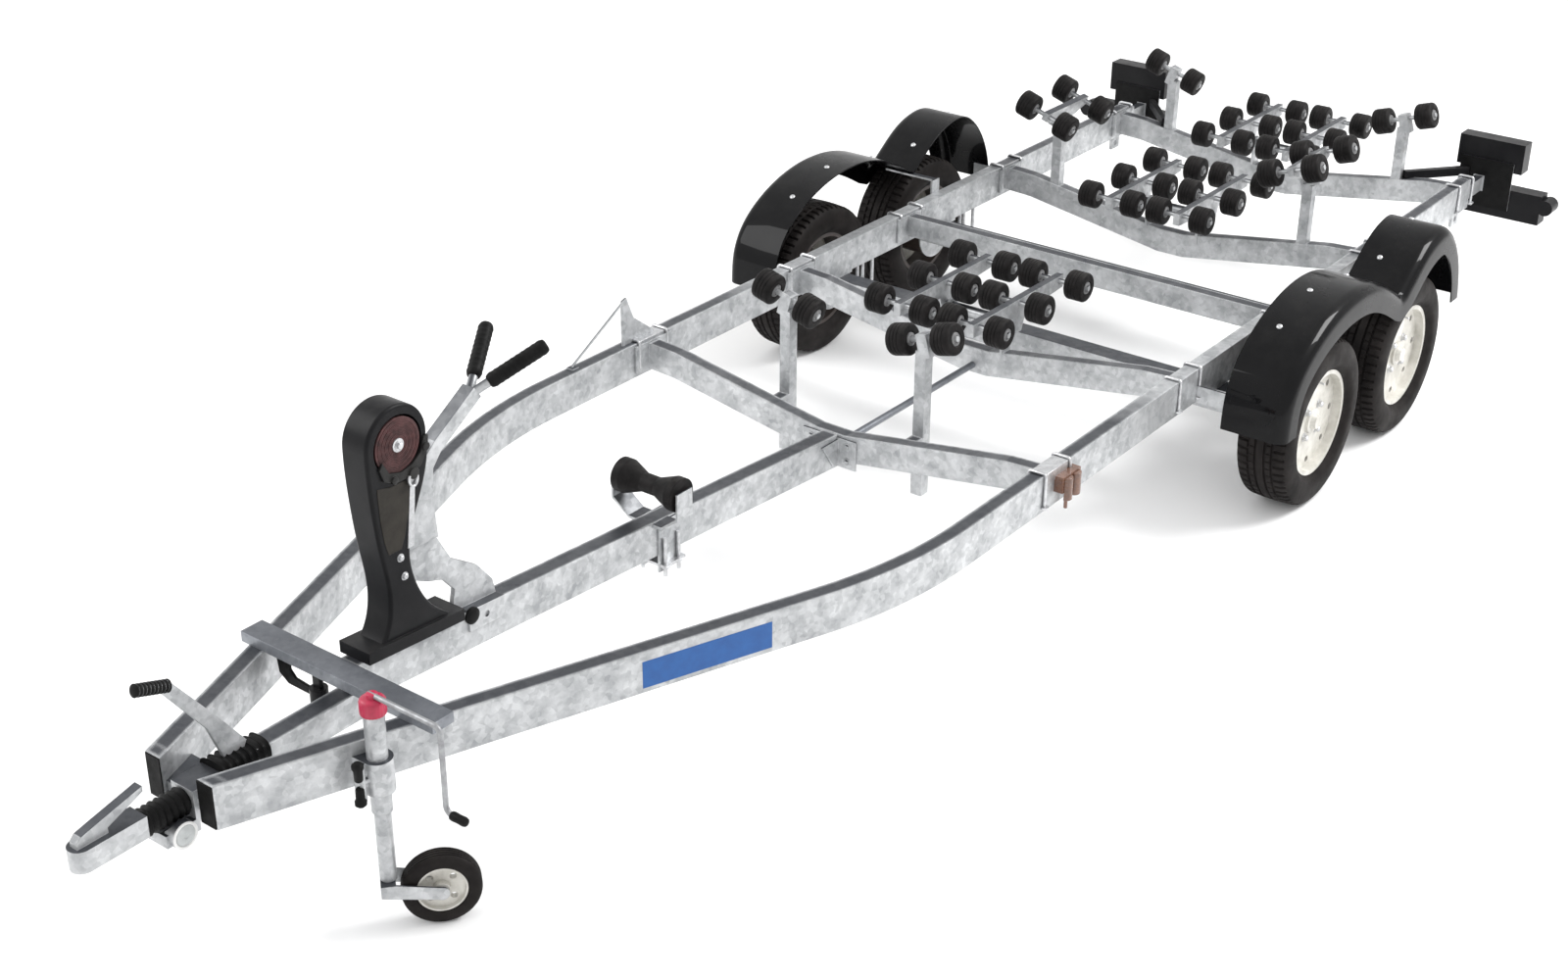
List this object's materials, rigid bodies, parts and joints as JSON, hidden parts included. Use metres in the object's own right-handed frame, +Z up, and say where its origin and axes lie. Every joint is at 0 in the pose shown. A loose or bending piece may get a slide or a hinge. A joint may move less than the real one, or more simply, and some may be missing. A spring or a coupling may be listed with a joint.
{
  "type": "boat trailer",
  "caption": "Tandem-axle galvanised boat trailer with converging side rails, winch tower, tilting roller cradles, black mudguards and a jockey wheel.",
  "frame": {"origin": "on the ground at the centre of the trailer's overall length and width", "axes": "+Z up, +Y towards the rear lamps, -Y towards the coupling, +X towards the side with the jockey wheel"},
  "size_m": [2.3, 6.45, 1.2484],
  "materials": {
    "galvanised": "satin",
    "black_plastic": "matte",
    "black_rubber": "matte",
    "tyre": "matte",
    "rim_paint": "satin",
    "cast_black": "satin",
    "strap_red": "matte",
    "cap_red": "gloss",
    "lens_red": "gloss",
    "amber": "gloss"
  },
  "bodies": {
    "chassis": {"rail_left": "galvanised", "rail_right": "galvanised", "centre_beam": "galvanised", "front_crossbar": "galvanised", "crossmember_front": "galvanised", "crossmember_middle": "galvanised", "crossmember_axle": "galvanised", "crossmember_aft": "galvanised", "crossmember_rear": "galvanised", "brake_rod_front": "galvanised", "keel_bracket": "galvanised", "winch_tower": "black_plastic", "bow_stand": "galvanised", "bow_pads": "black_rubber", "overrun_housing": "galvanised", "overrun_bellows": "black_rubber", "coupling_head": "galvanised", "handbrake_lever": "galvanised", "parked_plug": "black_plastic", "jockey_clamp": "galvanised", "jockey_tube": "galvanised", "jockey_head": "cap_red", "axle_front": "galvanised", "axle_rear": "galvanised", "mudguard_left": "black_plastic", "mudguard_right": "black_plastic", "guard_brackets": "galvanised", "lamp_brackets": "galvanised", "lamp_housings": "black_plastic", "lamp_lenses": "lens_red", "amber_markers": "amber"},
    "jockey_leg": {"jockey_leg": "galvanised"},
    "jockey_fork": {"jockey_fork": "galvanised"},
    "jockey_wheel": {"jockey_rim": "rim_paint", "jockey_tyre": "tyre"},
    "keel_roller": {"keel_roller": "black_rubber"},
    "winch_reel": {"winch_reel": "strap_red"},
    "wheel_front_left": {"rim_front_left": "rim_paint", "tyre_front_left": "tyre"},
    "wheel_front_right": {"rim_front_right": "rim_paint", "tyre_front_right": "tyre"},
    "wheel_rear_left": {"rim_rear_left": "rim_paint", "tyre_rear_left": "tyre"},
    "wheel_rear_right": {"rim_rear_right": "rim_paint", "tyre_rear_right": "tyre"},
    "front_rollers_left": {"front_rollers_left": "black_rubber"},
    "rear_rollers_left": {"rear_rollers_left": "black_rubber"},
    "outer_cradle_left": {"outer_cradle_left": "galvanised", "outer_rollers_left": "black_rubber"},
    "front_rollers_right": {"front_rollers_right": "black_rubber"},
    "rear_rollers_right": {"rear_rollers_right": "black_rubber"},
    "outer_cradle_right": {"outer_cradle_right": "galvanised", "outer_rollers_right": "black_rubber"},
    "cradle_middle": {"cradle_middle": "galvanised", "cradle_rollers_middle": "black_rubber"},
    "cradle_aft": {"cradle_aft": "galvanised", "cradle_rollers_aft": "black_rubber"},
    "cradle_rear": {"cradle_rear": "galvanised", "cradle_rollers_rear": "black_rubber"}
  },
  "joints": [
    {"name": "jockey_slide", "type": "slide", "parent": "chassis", "child": "jockey_leg", "axis": [0, 0, 1], "range_m": [-0.05, 0.1]},
    {"name": "jockey_swivel", "type": "hinge", "parent": "jockey_leg", "child": "jockey_fork", "pos_m": [0.28793, -2.565, 0.15], "axis": [0, 0, 1], "continuous": true},
    {"name": "jockey_spin", "type": "hinge", "parent": "jockey_fork", "child": "jockey_wheel", "pos_m": [0.36942, -2.4689, 0.1], "axis": [0.7627, -0.6468, 0], "continuous": true},
    {"name": "wheel_front_left_spin", "type": "hinge", "parent": "chassis", "child": "wheel_front_left", "pos_m": [-1.04, 0.92619, 0.295], "axis": [1, 0, 0], "continuous": true},
    {"name": "wheel_front_right_spin", "type": "hinge", "parent": "chassis", "child": "wheel_front_right", "pos_m": [1.04, 0.92619, 0.295], "axis": [1, 0, 0], "continuous": true},
    {"name": "wheel_rear_left_spin", "type": "hinge", "parent": "chassis", "child": "wheel_rear_left", "pos_m": [-1.04, 1.64019, 0.295], "axis": [1, 0, 0], "continuous": true},
    {"name": "wheel_rear_right_spin", "type": "hinge", "parent": "chassis", "child": "wheel_rear_right", "pos_m": [1.04, 1.64019, 0.295], "axis": [1, 0, 0], "continuous": true},
    {"name": "keel_roller_spin", "type": "hinge", "parent": "chassis", "child": "keel_roller", "pos_m": [0, -1.225, 0.584], "axis": [1, 0, 0], "continuous": true},
    {"name": "winch_reel_turn", "type": "hinge", "parent": "chassis", "child": "winch_reel", "pos_m": [0.018, -2.2087, 1.10964], "axis": [1, 0, 0], "continuous": true},
    {"name": "front_rollers_left_spin", "type": "hinge", "parent": "chassis", "child": "front_rollers_left", "pos_m": [-0.265, -0.22485, 0.768], "axis": [0.9659, 0, -0.2588], "continuous": true},
    {"name": "rear_rollers_left_spin", "type": "hinge", "parent": "chassis", "child": "rear_rollers_left", "pos_m": [-0.527, 2.90518, 0.748], "axis": [0.9511, 0, -0.309], "continuous": true},
    {"name": "outer_cradle_left_tilt", "type": "hinge", "parent": "chassis", "child": "outer_cradle_left", "pos_m": [-0.545, 1.96509, 0.768], "axis": [0.9511, 0, -0.309], "range_deg": [-15, 15]},
    {"name": "front_rollers_right_spin", "type": "hinge", "parent": "chassis", "child": "front_rollers_right", "pos_m": [0.265, -0.22485, 0.768], "axis": [0.9659, 0, 0.2588], "continuous": true},
    {"name": "rear_rollers_right_spin", "type": "hinge", "parent": "chassis", "child": "rear_rollers_right", "pos_m": [0.527, 2.90518, 0.748], "axis": [0.9511, 0, 0.309], "continuous": true},
    {"name": "outer_cradle_right_tilt", "type": "hinge", "parent": "chassis", "child": "outer_cradle_right", "pos_m": [0.545, 1.96509, 0.768], "axis": [0.9511, 0, 0.309], "range_deg": [-15, 15]},
    {"name": "cradle_middle_tilt", "type": "hinge", "parent": "chassis", "child": "cradle_middle", "pos_m": [0, 0.52007, 0.536], "axis": [1, 0, 0], "range_deg": [-12, 12]},
    {"name": "cradle_aft_tilt", "type": "hinge", "parent": "chassis", "child": "cradle_aft", "pos_m": [0, 1.96509, 0.506], "axis": [1, 0, 0], "range_deg": [-12, 12]},
    {"name": "cradle_rear_tilt", "type": "hinge", "parent": "chassis", "child": "cradle_rear", "pos_m": [0, 2.90518, 0.51], "axis": [1, 0, 0], "range_deg": [-12, 12]}
  ]
}
